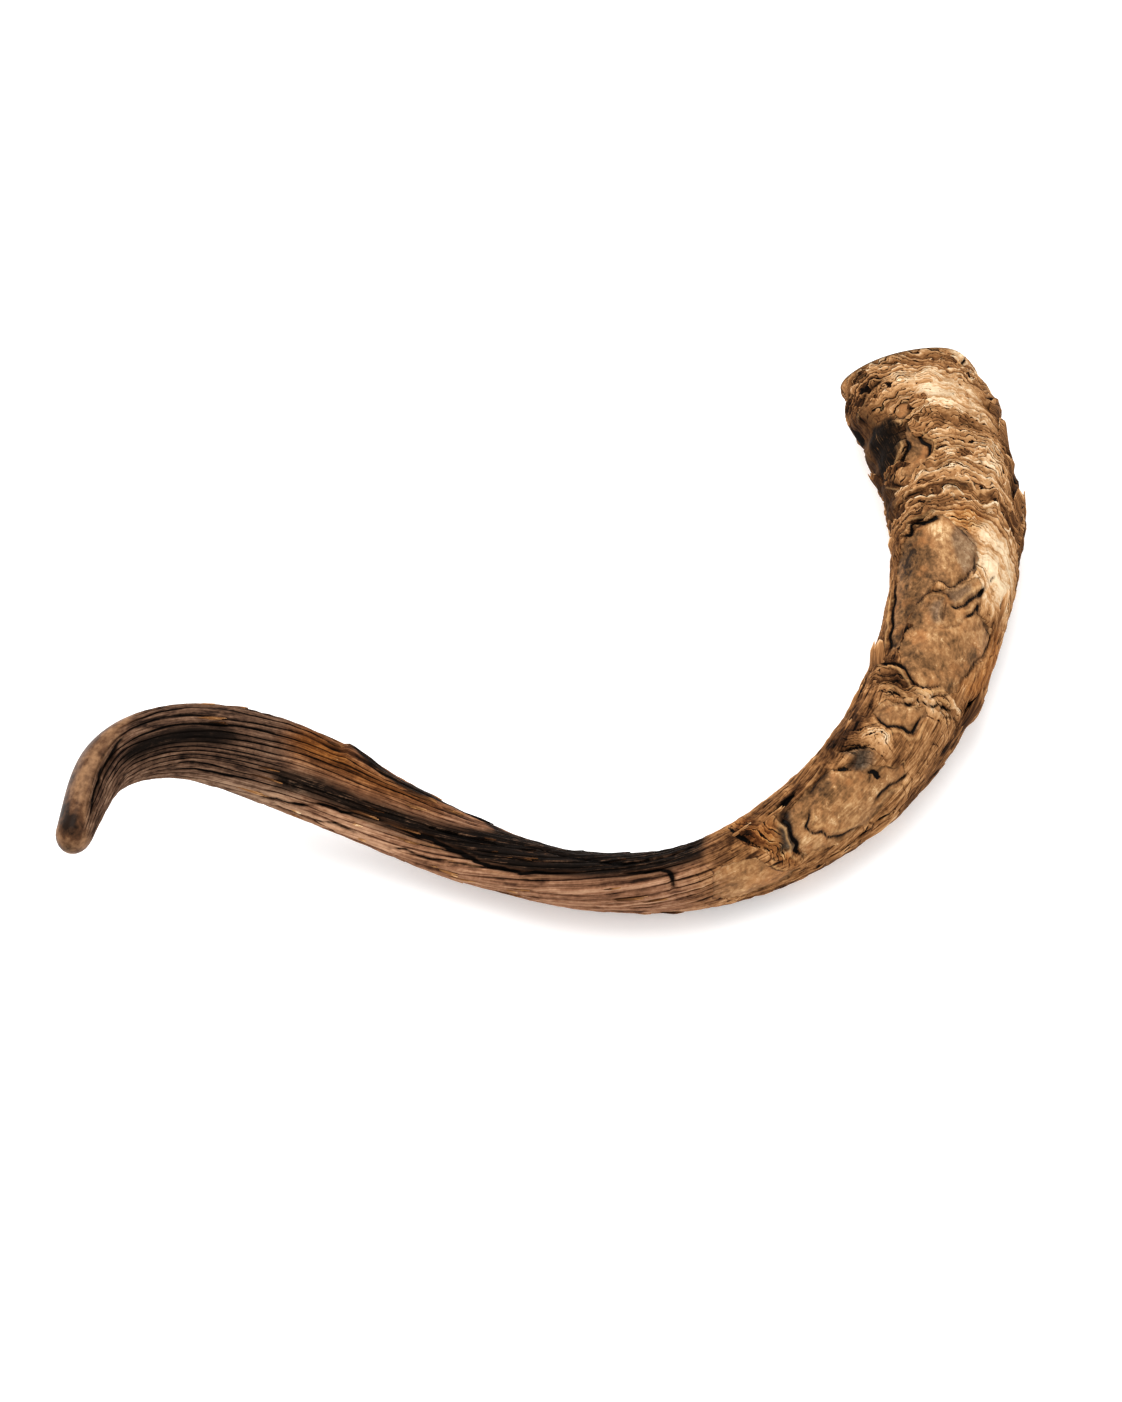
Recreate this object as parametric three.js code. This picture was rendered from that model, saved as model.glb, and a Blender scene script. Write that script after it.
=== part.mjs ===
// A weathered goat horn: one keratin sheath, sawn off and hollow at the base, flaking in layers
// over its thick half, furrowed over its thin half and worn smooth at the tip. It lies on its
// belly and on the edge of the saw cut, with the tip in the air.
// Millimetres, +Z up. The origin is on the surface it lies on, under the middle of its outline.

import * as THREE from "three";

// The horn's middle line, from a little beyond the saw cut to the tip. At each place: the half
// width of the oval section towards the keel, its half thickness across that, and the turn of
// the keel about the middle line in degrees.
const STATIONS = [
  { middle: [136.0, 171.0, 26.2], wide: 30.5, thin: 27.0, turn: -184 },
  { middle: [147.0, 108.5, 25.9], wide: 28.0, thin: 24.5, turn: -176 },
  { middle: [156.0, 56.5, 25.0], wide: 26.0, thin: 22.5, turn: -166 },
  { middle: [149.5, 5.5, 23.0], wide: 23.5, thin: 21.0, turn: -152 },
  { middle: [129.0, -46.5, 21.5], wide: 21.5, thin: 19.0, turn: -134 },
  { middle: [93.5, -87.5, 20.2], wide: 18.5, thin: 16.0, turn: -110 },
  { middle: [50.5, -110.5, 18.5], wide: 16.5, thin: 12.0, turn: -84 },
  { middle: [6.0, -112.0, 16.5], wide: 16.5, thin: 11.0, turn: -58 },
  { middle: [-35.5, -98.0, 14.0], wide: 15.5, thin: 10.0, turn: -25 },
  { middle: [-74.0, -85.0, 24.5], wide: 14.5, thin: 9.5, turn: 10 },
  { middle: [-111.5, -74.5, 40.5], wide: 16.0, thin: 11.0, turn: 38 },
  { middle: [-145.5, -75.5, 56.5], wide: 14.0, thin: 10.5, turn: 58 },
  { middle: [-170.5, -94.0, 69.5], wide: 11.5, thin: 9.5, turn: 78 },
  { middle: [-180.5, -136.0, 79.0], wide: 6.5, thin: 6.0, turn: 98 },
];
const KEEL_RISE = 0.1; // share by which the keel stands out of the oval
const KEEL_SPREAD = 0.45; // radians
const TIP_ROUNDING = 7;

// The saw cut, and the hollow that the bony core left. Distances along the horn are measured
// from the cut.
const CUT_FROM_FIRST_STATION = 43.6;
const CUT_PITCH = 15; // degrees that the cut face looks up
const CUT_LEAN_LENGTH = 40; // over which the rings come upright from the leaning cut
const HOLLOW_DEPTH = 200;
const HOLLOW_SHARE_AT_CUT = 0.78; // of the outer section
const HOLLOW_TAPER = 1.6;

// The corner of the rim on the keel side is broken off: its middle in degrees, how far it reaches
// round the horn in radians and along it, and the share of the section that is lost at the cut.
const BROKEN_CORNER = { angle: -16, spread: 0.7, length: 30, share: 0.22 };

// Growth wrinkles round the base: two trains of ridges that drift in and out of step.
const WRINKLES = [
  { spacing: 12.5, height: 0.55, wander: 0.8, waves: 2 },
  { spacing: 19, height: 0.45, wander: 1.1, waves: 3 },
];
const WRINKLES_FADE = [80, 110];

// Places where the outer layers have come away: distance along, angle from the keel in degrees,
// half length and half width of the bare patch. The first five face up, the rest face the floor
// and the outside of the bend.
const BARE_PATCHES = [
  { along: 108, angle: -134, halfLength: 21, halfWidth: 18 },
  { along: 148, angle: -108, halfLength: 21, halfWidth: 17 },
  { along: 184, angle: -128, halfLength: 8, halfWidth: 11 },
  { along: 230, angle: -128, halfLength: 19, halfWidth: 13 },
  { along: 268, angle: -115, halfLength: 14, halfWidth: 8 },
  { along: 72, angle: 48, halfLength: 17, halfWidth: 15 },
  { along: 124, angle: 72, halfLength: 18, halfWidth: 13 },
  { along: 170, angle: 28, halfLength: 14, halfWidth: 10 },
  { along: 214, angle: 60, halfLength: 19, halfWidth: 12 },
];
const PATCH_DEPTH = 1.5;
const PATCH_EDGE = [0.82, 1.12]; // from the floor of a patch to its rim, in half sizes
const LIP_HEIGHT = 0.7; // of the torn layers round a patch
const LIP_PLACE = 1.25;
const LIP_SPREAD = 0.16;

// Edges of torn layers, by distance along and angle in degrees. A layer rises slowly from the
// base side and ends in a ledge on the tip side.
const TORN_LAYERS = [
  { along: 21, angle: 170, height: 2.2 },
  { along: 28, angle: -14, height: 1.2 },
  { along: 52, angle: -34, height: 1.0 },
  { along: 84, angle: -18, height: 1.8 },
  { along: 124, angle: -112, height: 1.2 },
  { along: 156, angle: -22, height: 1.6 },
  { along: 172, angle: -140, height: 1.7 },
  { along: 206, angle: -150, height: 1.3 },
  { along: 212, angle: -40, height: 1.1 },
  { along: 254, angle: -146, height: 1.2 },
  { along: 44, angle: 96, height: 1.1 },
  { along: 98, angle: 40, height: 1.3 },
  { along: 150, angle: 104, height: 1.2 },
  { along: 192, angle: 70, height: 1.3 },
  { along: 246, angle: 84, height: 1.0 },
];
const LAYER_RISE = 14;
const LEDGE_FALL = 3;
const LAYER_HALF_ANGLE = 0.6; // radians

// Furrows that run along the thin half, and fade on the polished tip.
const FURROWS = 20;
const FURROW_DEPTH = 0.9;
const FURROWS_BEGIN = [285, 330];
const FURROWS_END = [525, 550];

// Facets.
const COLUMNS = 2 * FURROWS;
const LAYERED_LENGTH = 290;
const LAYERED_STEP = 4.05;
const FURROWED_STEP = 9.6;
const HOLLOW_STEP = 13;
const TIP_RINGS = 4;

const { degToRad, smoothstep } = THREE.MathUtils;
const UP = new THREE.Vector3(0, 0, 1);

// Curves through the stations: the middle line in space, and the section beside it.
function throughStations(readStation) {
  const curve = new THREE.CatmullRomCurve3(STATIONS.map(readStation), false, "catmullrom", 0.5);
  curve.arcLengthDivisions = 2000;
  return curve;
}
const middleLine = throughStations(({ middle }) => new THREE.Vector3(...middle));
const sections = throughStations(({ wide, thin, turn }) => new THREE.Vector3(wide, thin, turn));
const LINE_LENGTH = middleLine.getLength();
const TIP_ALONG = LINE_LENGTH - CUT_FROM_FIRST_STATION;

// The middle line's place, direction and section at a distance from the cut.
function lookAlong(along) {
  const share = THREE.MathUtils.clamp((along + CUT_FROM_FIRST_STATION) / LINE_LENGTH, 0, 1);
  const station = middleLine.getUtoTmapping(share);
  const direction = middleLine.getTangent(station);
  const side = direction.clone().cross(UP).normalize();
  const lift = side.clone().cross(direction);
  const [wide, thin, turn] = sections.getPoint(station).toArray();
  return { middle: middleLine.getPoint(station), direction, side, lift, wide, thin, turn };
}

const hump = (distance) => Math.exp(-distance * distance);
const turnBetween = (angle, other) => Math.atan2(Math.sin(angle - other), Math.cos(angle - other));

function wrinkles(along, angle) {
  let height = 0;
  for (const train of WRINKLES) {
    const phase = (2 * Math.PI * along) / train.spacing + train.wander * Math.sin(train.waves * angle);
    height += train.height * Math.cos(phase);
  }
  return height * (1 - smoothstep(along, ...WRINKLES_FADE));
}

function barePatch(patch, along, angle, radius) {
  const lengthwise = (along - patch.along) / patch.halfLength;
  const across = (radius * turnBetween(angle, degToRad(patch.angle))) / patch.halfWidth;
  const distance = Math.hypot(lengthwise, across);
  const bare = 1 - smoothstep(distance, ...PATCH_EDGE);
  return LIP_HEIGHT * hump((distance - LIP_PLACE) / LIP_SPREAD) - PATCH_DEPTH * bare;
}

function tornLayer(layer, along, angle) {
  const past = along - layer.along;
  const lengthwise = past / (past < 0 ? LAYER_RISE : LEDGE_FALL);
  const across = turnBetween(angle, degToRad(layer.angle)) / LAYER_HALF_ANGLE;
  return layer.height * hump(lengthwise) * hump(across);
}

function furrows(along, angle) {
  const begun = smoothstep(along, ...FURROWS_BEGIN) * (1 - smoothstep(along, ...FURROWS_END));
  return 0.5 * FURROW_DEPTH * Math.cos(FURROWS * angle) * begun;
}

// Height of the torn, wrinkled and furrowed surface over the smooth horn.
function relief(along, angle, radius) {
  let height = wrinkles(along, angle) + furrows(along, angle);
  for (const patch of BARE_PATCHES) {
    height += barePatch(patch, along, angle, radius);
  }
  for (const layer of TORN_LAYERS) {
    height += tornLayer(layer, along, angle);
  }
  return height;
}

// The outward direction of the cut face.
function cutFacing({ direction }) {
  const pitch = degToRad(CUT_PITCH);
  const level = direction.clone().negate().setZ(0).normalize();
  return level.multiplyScalar(Math.cos(pitch)).addScaledVector(UP, Math.sin(pitch));
}

// Slides a point along the horn, so that the ring at the cut lies flat in the cut face and the
// rings after it come upright.
function leanIntoCut(point, along, place) {
  const facing = cutFacing(lookAlong(0));
  const outOfPlane = point.clone().sub(place.middle).dot(facing) / place.direction.dot(facing);
  const lean = Math.max(0, 1 - along / CUT_LEAN_LENGTH);
  return point.addScaledVector(place.direction, -outOfPlane * lean);
}

function brokenCorner(along, angle) {
  const { share, spread, length } = BROKEN_CORNER;
  const across = turnBetween(angle, degToRad(BROKEN_CORNER.angle)) / spread;
  return share * hump(across) * Math.max(0, 1 - along / length) ** 2;
}

// One ring of points round the horn, at a share of its full section, with relief or without.
function ring(along, share, heightAt) {
  const place = lookAlong(along);
  return Array.from({ length: COLUMNS }, (_, column) => {
    const angle = (2 * Math.PI * column) / COLUMNS;
    const keel = 1 + KEEL_RISE * hump(turnBetween(angle, 0) / KEEL_SPREAD);
    const section = new THREE.Vector2(place.wide * Math.cos(angle), place.thin * Math.sin(angle));
    section.multiplyScalar(keel * share * (1 - brokenCorner(along, angle)));
    section.setLength(section.length() + heightAt(along, angle, section.length()));
    section.rotateAround(new THREE.Vector2(), degToRad(place.turn));
    const point = place.middle.clone()
      .addScaledVector(place.side, section.x)
      .addScaledVector(place.lift, section.y);
    return leanIntoCut(point, along, place);
  });
}

function evenSteps(from, to, step) {
  const count = Math.round((to - from) / step);
  return Array.from({ length: count }, (_, i) => from + ((to - from) * i) / count);
}

// The hollow's rings, from the cut inwards.
function hollowRings() {
  return evenSteps(0, HOLLOW_DEPTH, HOLLOW_STEP).map((along) => {
    const share = HOLLOW_SHARE_AT_CUT * (1 - (along / HOLLOW_DEPTH) ** HOLLOW_TAPER);
    return ring(along, share, () => 0);
  });
}

// The outside's rings, from the cut to the rounded tip.
function outerRings() {
  const domeStart = TIP_ALONG - TIP_ROUNDING;
  const shaft = [
    ...evenSteps(0, LAYERED_LENGTH, LAYERED_STEP),
    ...evenSteps(LAYERED_LENGTH, domeStart, FURROWED_STEP),
  ].map((along) => ring(along, 1, relief));
  const dome = evenSteps(0, Math.PI / 2, Math.PI / 2 / TIP_RINGS).map((climb) => {
    return ring(domeStart + TIP_ROUNDING * Math.sin(climb), Math.cos(climb), () => 0);
  });
  return [...shaft, ...dome];
}

// A closed skin: a point, rings of points that share one count, and a point.
function closedSkin(start, rings, end) {
  const points = [start, ...rings.flat(), end];
  const last = points.length - 1;
  const at = (row, column) => 1 + row * COLUMNS + (column % COLUMNS);
  const faces = [];
  for (let column = 0; column < COLUMNS; column += 1) {
    const next = column + 1;
    faces.push(0, at(0, column), at(0, next));
    for (let row = 0; row + 1 < rings.length; row += 1) {
      faces.push(at(row, column), at(row + 1, column), at(row, next));
      faces.push(at(row + 1, column), at(row + 1, next), at(row, next));
    }
    faces.push(last, at(rings.length - 1, next), at(rings.length - 1, column));
  }
  const geometry = new THREE.BufferGeometry().setFromPoints(points);
  geometry.setIndex(faces);
  geometry.computeVertexNormals();
  return geometry;
}

// The skin runs from the end of the hollow out to the cut, across its flat rim and on to the tip.
const sheath = closedSkin(
  lookAlong(HOLLOW_DEPTH).middle,
  [...hollowRings().reverse(), ...outerRings()],
  lookAlong(TIP_ALONG).middle,
);
const keratin = new THREE.MeshStandardMaterial({ color: 0x8a6a48, roughness: 0.75, metalness: 0 });
const horn = new THREE.Mesh(sheath, keratin);
horn.name = "horn";

const goatHorn = new THREE.Group();
goatHorn.name = "goat_horn";
goatHorn.add(horn);

export default goatHorn;
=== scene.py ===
import math

import bpy
import numpy as np
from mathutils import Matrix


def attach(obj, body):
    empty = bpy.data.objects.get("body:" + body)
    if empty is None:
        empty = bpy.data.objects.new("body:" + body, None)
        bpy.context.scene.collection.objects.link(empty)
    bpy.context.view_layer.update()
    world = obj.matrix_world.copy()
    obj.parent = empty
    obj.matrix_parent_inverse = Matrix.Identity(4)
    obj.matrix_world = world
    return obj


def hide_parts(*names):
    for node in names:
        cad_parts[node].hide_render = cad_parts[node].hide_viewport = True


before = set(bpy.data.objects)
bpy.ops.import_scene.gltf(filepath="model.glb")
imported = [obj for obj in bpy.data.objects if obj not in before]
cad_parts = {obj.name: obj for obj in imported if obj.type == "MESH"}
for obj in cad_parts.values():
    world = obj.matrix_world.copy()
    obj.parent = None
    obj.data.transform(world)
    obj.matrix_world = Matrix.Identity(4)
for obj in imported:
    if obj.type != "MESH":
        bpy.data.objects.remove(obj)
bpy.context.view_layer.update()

# The horn: one keratin sheath, grown over a bony core that is gone, so it is open and hollow at
# its sawn base. Weather has lifted its outer layers off the thick half, opened its fibres along
# the thin half and left only the tip smooth. It is laid out in millimetres and placed in metres.
MM = 0.001

# The middle line from a little beyond the saw cut to the tip: x, y, z, the half width towards the
# keel, the half thickness across it, and the turn of the keel in degrees.
STATIONS = np.array([
    (136.0, 171.0, 26.2, 30.5, 27.0, -184),
    (147.0, 108.5, 25.9, 28.0, 24.5, -176),
    (156.0, 56.5, 25.0, 26.0, 22.5, -166),
    (149.5, 5.5, 23.0, 23.5, 21.0, -152),
    (129.0, -46.5, 21.5, 21.5, 19.0, -134),
    (93.5, -87.5, 20.2, 18.5, 16.0, -110),
    (50.5, -110.5, 18.5, 16.5, 12.0, -84),
    (6.0, -112.0, 16.5, 16.5, 11.0, -58),
    (-35.5, -98.0, 14.0, 15.5, 10.0, -25),
    (-74.0, -85.0, 24.5, 14.5, 9.5, 10),
    (-111.5, -74.5, 40.5, 16.0, 11.0, 38),
    (-145.5, -75.5, 56.5, 14.0, 10.5, 58),
    (-170.5, -94.0, 69.5, 11.5, 9.5, 78),
    (-180.5, -136.0, 79.0, 6.5, 6.0, 98),
])
KEEL_RISE = 0.1
KEEL_SPREAD = 0.45
TIP_ROUNDING = 7.0
CUT_FROM_FIRST_STATION = 43.6
CUT_PITCH = math.radians(15)
CUT_LEAN_LENGTH = 40.0
BROKEN_CORNER = {"angle": math.radians(-16), "spread": 0.7, "length": 30.0, "share": 0.22}
HOLLOW_DEPTH = 200.0
HOLLOW_SHARE_AT_CUT = 0.78
HOLLOW_TAPER = 1.6


def hump(distance):
    """1 at no distance, falling off like a bell."""
    return np.exp(-distance ** 2)


def smooth(value, low, high):
    """0 at low, 1 at high and smooth between."""
    part = np.clip((value - low) / (high - low), 0, 1)
    return part * part * (3 - 2 * part)


def turn_between(angle, other):
    """How far an angle lies past another, within half a turn either way."""
    return (angle - other + np.pi) % (2 * np.pi) - np.pi


def through_stations(station):
    """Values of all station columns at fractional station numbers, on a Catmull-Rom curve."""
    ends = 2 * STATIONS[[0, -1]] - STATIONS[[1, -2]]
    knots = np.vstack([ends[:1], STATIONS, ends[1:]])
    first = np.clip(np.floor(station).astype(int), 0, len(STATIONS) - 2)
    part = (station - first)[:, None]
    before, here, there, after = (knots[first + i] for i in range(4))
    leave, arrive = (there - before) / 2, (after - here) / 2
    bend = 2 * here - 2 * there + leave + arrive
    return here + part * (leave + part * (-3 * here + 3 * there - 2 * leave - arrive + part * bend))


station_table = np.linspace(0, len(STATIONS) - 1, 6001)
table_steps = np.diff(through_stations(station_table)[:, :3], axis=0)
along_table = np.append(0, np.cumsum(np.linalg.norm(table_steps, axis=1))) - CUT_FROM_FIRST_STATION
TIP_ALONG = along_table[-1]


def look_along(along):
    """Middle, direction, side, lift and section of the horn at distances from the cut."""
    station = np.interp(along, along_table, station_table)
    values = through_stations(station)
    nudge = 1e-3
    ahead = through_stations(np.minimum(station + nudge, station_table[-1]))
    behind = through_stations(np.maximum(station - nudge, 0))
    direction = (ahead - behind)[:, :3]
    direction /= np.linalg.norm(direction, axis=1, keepdims=True)
    side = np.cross(direction, (0, 0, 1))
    side /= np.linalg.norm(side, axis=1, keepdims=True)
    return values[:, :3], direction, side, np.cross(side, direction), values[:, 3:]


def section_at(along, angle):
    """The smooth outside in its own section: towards the keel, and across."""
    wide, thin = look_along(along)[4][:, :2].T
    keel = 1 + KEEL_RISE * hump(turn_between(angle, 0) / KEEL_SPREAD)
    across = turn_between(angle, BROKEN_CORNER["angle"]) / BROKEN_CORNER["spread"]
    lost = BROKEN_CORNER["share"] * hump(across)
    lost = lost * np.maximum(0, 1 - along / BROKEN_CORNER["length"]) ** 2
    return np.stack([wide * np.cos(angle), thin * np.sin(angle)]) * keel * (1 - lost)


# The outward direction of the saw cut, which looks a little up.
cut_level = -look_along(np.zeros(1))[1][0] * (1, 1, 0)
cut_level /= np.linalg.norm(cut_level)
CUT_FACING = cut_level * math.cos(CUT_PITCH) + np.array((0, 0, math.sin(CUT_PITCH)))


def place(along, angle, share, swell):
    """Points of the horn in mm: share is the part of the full section, swell is added to it."""
    middle, direction, side, lift, section = look_along(along)
    across = section_at(along, angle) * share
    across = across * (1 + swell / np.maximum(np.hypot(*across), 1e-9))
    cos, sin = np.cos(np.radians(section[:, 2])), np.sin(np.radians(section[:, 2]))
    sideways = (across[0] * cos - across[1] * sin)[:, None] * side
    upwards = (across[0] * sin + across[1] * cos)[:, None] * lift
    out_of_plane = ((sideways + upwards) @ CUT_FACING) / (direction @ CUT_FACING)
    lean = np.maximum(0, 1 - along / CUT_LEAN_LENGTH)
    return middle + sideways + upwards - (out_of_plane * lean)[:, None] * direction


# The rings of the skin: out of the hollow, across the rim and along the outside to the tip.
COLUMNS = 200
HOLLOW_RINGS = 20
RIM_RINGS = 4
OUTSIDE_STEPS = [(0.0, 300.0, 0.84), (300.0, TIP_ALONG - TIP_ROUNDING, 2.6)]
TIP_RINGS = 8
HOLLOW, RIM, OUTSIDE = 0, 1, 2

hollow_along = np.linspace(HOLLOW_DEPTH, 0, HOLLOW_RINGS, endpoint=False)
hollow_share = HOLLOW_SHARE_AT_CUT * (1 - (hollow_along / HOLLOW_DEPTH) ** HOLLOW_TAPER)
rim_share = np.linspace(HOLLOW_SHARE_AT_CUT, 1, RIM_RINGS, endpoint=False)
outside_along = np.concatenate([
    np.linspace(low, high, round((high - low) / step), endpoint=False)
    for low, high, step in OUTSIDE_STEPS
])
climb = np.linspace(0, np.pi / 2, TIP_RINGS)
dome_along = TIP_ALONG - TIP_ROUNDING + TIP_ROUNDING * np.sin(climb)
ring_along = np.concatenate([hollow_along, np.zeros(RIM_RINGS), outside_along, dome_along])
ring_share = np.concatenate([hollow_share, rim_share, np.ones(len(outside_along)), np.cos(climb)])
ring_part = np.repeat([HOLLOW, RIM, OUTSIDE],
                      [HOLLOW_RINGS, RIM_RINGS, len(outside_along) + TIP_RINGS])


def new_sheet(name, rows, columns):
    """A flat grid to be wrapped into a piece, the row of each of its points, and their places across
    from -1 to 1."""
    bpy.ops.object.select_all(action="DESELECT")
    bpy.ops.mesh.primitive_grid_add(x_subdivisions=rows - 1, y_subdivisions=columns - 1, size=2)
    piece = bpy.context.object
    piece.name = name
    flat = np.empty(len(piece.data.vertices) * 3)
    piece.data.vertices.foreach_get("co", flat)
    flat = flat.reshape(-1, 3)
    return piece, np.rint((flat[:, 0] + 1) / 2 * (rows - 1)).astype(int), flat[:, 1]


horn, ring, half_turns = new_sheet("goat_horn", len(ring_along), COLUMNS + 1)
angle = np.pi * half_turns
along, share, part = ring_along[ring], ring_share[ring], ring_part[ring]
section = section_at(along, angle) * share

# Growth wrinkles round the base: two trains of ridges that drift in and out of step.
# Each has its spacing, height, wander, and the number of its waves round the horn.
WRINKLES = [(12.5, 0.55, 0.8, 2), (19.0, 0.45, 1.1, 3)]
WRINKLES_END = (80, 110)
swell = sum(height * np.cos(2 * np.pi * along / spacing + wander * np.sin(waves * angle))
            for spacing, height, wander, waves in WRINKLES)
swell *= 1 - smooth(along, *WRINKLES_END)

# Layers that stand out of the outline: distance along, angle in degrees, height. Each rises
# slowly from the base side and ends in a ledge on the tip side.
TORN_LAYERS = [
    (21, 170, 2.2), (28, -14, 1.2), (52, -34, 1.0), (84, -18, 1.8), (156, -22, 1.6),
    (172, -140, 1.7), (206, -150, 1.3), (212, -40, 1.1), (254, -146, 1.2), (44, 96, 1.1),
    (98, 40, 1.3), (150, 104, 1.2), (192, 70, 1.3), (246, 84, 1.0), (434, 12, 2.2), (352, 20, 1.4),
]
LAYER_RISE = 14.0
LEDGE_FALL = 3.0
LAYER_HALF_ANGLE = 0.6
for ledge_along, ledge_angle, height in TORN_LAYERS:
    past = along - ledge_along
    across = turn_between(angle, math.radians(ledge_angle)) / LAYER_HALF_ANGLE
    swell += height * hump(past / np.where(past < 0, LAYER_RISE, LEDGE_FALL)) * hump(across)
swell *= (part == OUTSIDE) & (along < TIP_ALONG - TIP_ROUNDING)
points = place(along, angle, share, swell) * MM
horn.data.vertices.foreach_set("co", points.ravel())


def note(name, values, piece=horn):
    """Keeps a number or a vector for each point of a piece, for its relief and its colours."""
    kind = "FLOAT_VECTOR" if values.ndim == 2 else "FLOAT"
    attribute = piece.data.attributes.new(name, kind, "POINT")
    attribute.data.foreach_set("vector" if values.ndim == 2 else "value", values.ravel())


# The horn as if it had grown straight: distance along it, and the place in its section.
note("straight", np.column_stack([along, *section]))


def unrolled(along, angle, middle_angle):
    """Distance along and round the horn in mm, flat about an angle."""
    girth = np.hypot(*section_at(along, np.full_like(along, np.pi / 3)))
    return np.stack([along, girth * turn_between(angle, middle_angle)], axis=1)


FAR = 20.0


def distance_to(line, closed=False):
    """Distance of the skin's points from a line of distances along and angles in degrees, how far
    along the line they are from 0 to 1, whether they are left of it, and whether inside it."""
    corners = np.array(line, float)
    corner_along, corner_angle = corners[:, 0], np.radians(corners[:, 1])
    middle_angle = math.atan2(np.sin(corner_angle).mean(), np.cos(corner_angle).mean())
    near = (along > corner_along.min() - FAR) & (along < corner_along.max() + FAR)
    skin = unrolled(along[near], angle[near], middle_angle)
    corners = unrolled(corner_along, corner_angle, middle_angle)
    best = np.full(len(skin), FAR)
    travel = np.zeros(len(skin))
    left = np.zeros(len(skin), bool)
    within = np.zeros(len(skin), bool)
    legs = list(zip(corners, np.roll(corners, -1, axis=0)))[:None if closed else -1]
    for number, (here, there) in enumerate(legs):
        edge = there - here + 1e-9
        reach = np.clip((skin - here) @ edge / (edge @ edge), 0, 1)
        gap = np.linalg.norm(skin - here - reach[:, None] * edge, axis=1)
        travel = np.where(gap < best, (number + reach) / len(legs), travel)
        left = np.where(gap < best, edge[0] * (skin - here)[:, 1] > edge[1] * (skin - here)[:, 0], left)
        best = np.minimum(best, gap)
        spans = (here[1] > skin[:, 1]) != (there[1] > skin[:, 1])
        within ^= spans & (skin[:, 0] < here[0] + (skin[:, 1] - here[1]) * edge[0] / edge[1])
    everywhere = [np.full(len(along), FAR), *np.zeros((3, len(along)))]
    for values, found in zip(everywhere, (best, travel, left, within)):
        values[near] = found
    return everywhere


def depth_in(*outlines):
    """Distance inside the nearest of some outlines in mm, negative outside them."""
    depths = []
    for outline in outlines:
        distance, _, _, inside = distance_to(outline, closed=True)
        depths.append(np.where(inside > 0, distance, -distance))
    return np.max(depths, axis=0)


# Patches where the outer layers have come away, as outlines of distance along the horn and angle
# from the keel. The first nine face up, the rest face the floor or the outside of the bend.
bare_note = depth_in(
    [(39, -127), (39, -119), (43, -116), (48, -119), (52, -113), (57, -115), (61, -125), (63, -136),
     (65, -146), (63, -152), (56, -144), (49, -134), (43, -131)],
    [(30, -133), (27, -125), (28, -117), (30, -112), (34, -118), (37, -126), (35, -131)],
    [(99, -169), (95, -159), (92, -146), (90, -133), (88, -121), (92, -112), (97, -102), (101, -89),
     (106, -86), (113, -91), (118, -98), (124, -114), (121, -125), (124, -131), (128, -135),
     (133, -144), (139, -154), (146, -158), (155, -157), (158, -167), (151, -175), (128, 180),
     (108, 177)],
    [(147, -154), (144, -147), (142, -133), (140, -118), (134, -98), (130, -88), (128, -78),
     (129, -66), (129, -52), (134, -50), (140, -51), (147, -64), (155, -75), (163, -80), (168, -100),
     (171, -119), (170, -129), (167, -137), (164, -148), (157, -156)],
    [(186, -155), (183, -151), (182, -139), (180, -131), (179, -121), (177, -109), (178, -102),
     (183, -102), (188, -103), (190, -110), (190, -118), (192, -128), (193, -137), (192, -150),
     (190, -160)],
    [(238, -164), (233, -161), (227, -164), (222, -159), (217, -147), (214, -132), (212, -117),
     (209, -104), (204, -103), (199, -97), (200, -85), (207, -82), (220, -77), (227, -84), (233, -89),
     (237, -99), (248, -99), (250, -114), (250, -151), (249, -168), (244, -169)],
    [(282, -145), (278, -149), (272, -145), (266, -138), (262, -116), (257, -95), (251, -82),
     (257, -73), (271, -74), (277, -84), (283, -97)],
    [(143, -154), (133, -146), (127, -133), (125, -122), (124, -114), (118, -96), (114, -84), (118, -78),
     (128, -76), (134, -90), (142, -112), (145, -134)],
    [(252, -160), (246, -100), (238, -84), (222, -76), (206, -80), (199, -86), (205, -110), (215, -150),
     (226, -172), (240, -172)],
    [(56, 36), (62, 68), (80, 80), (92, 56), (88, 28), (70, 20)],
    [(108, 56), (112, 90), (130, 100), (143, 78), (136, 52), (120, 44)],
    [(156, 14), (160, 42), (174, 52), (186, 36), (180, 10), (166, 4)],
    [(194, 48), (200, 84), (220, 92), (234, 70), (228, 42), (208, 34)],
)
note("bare", bare_note)

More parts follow.
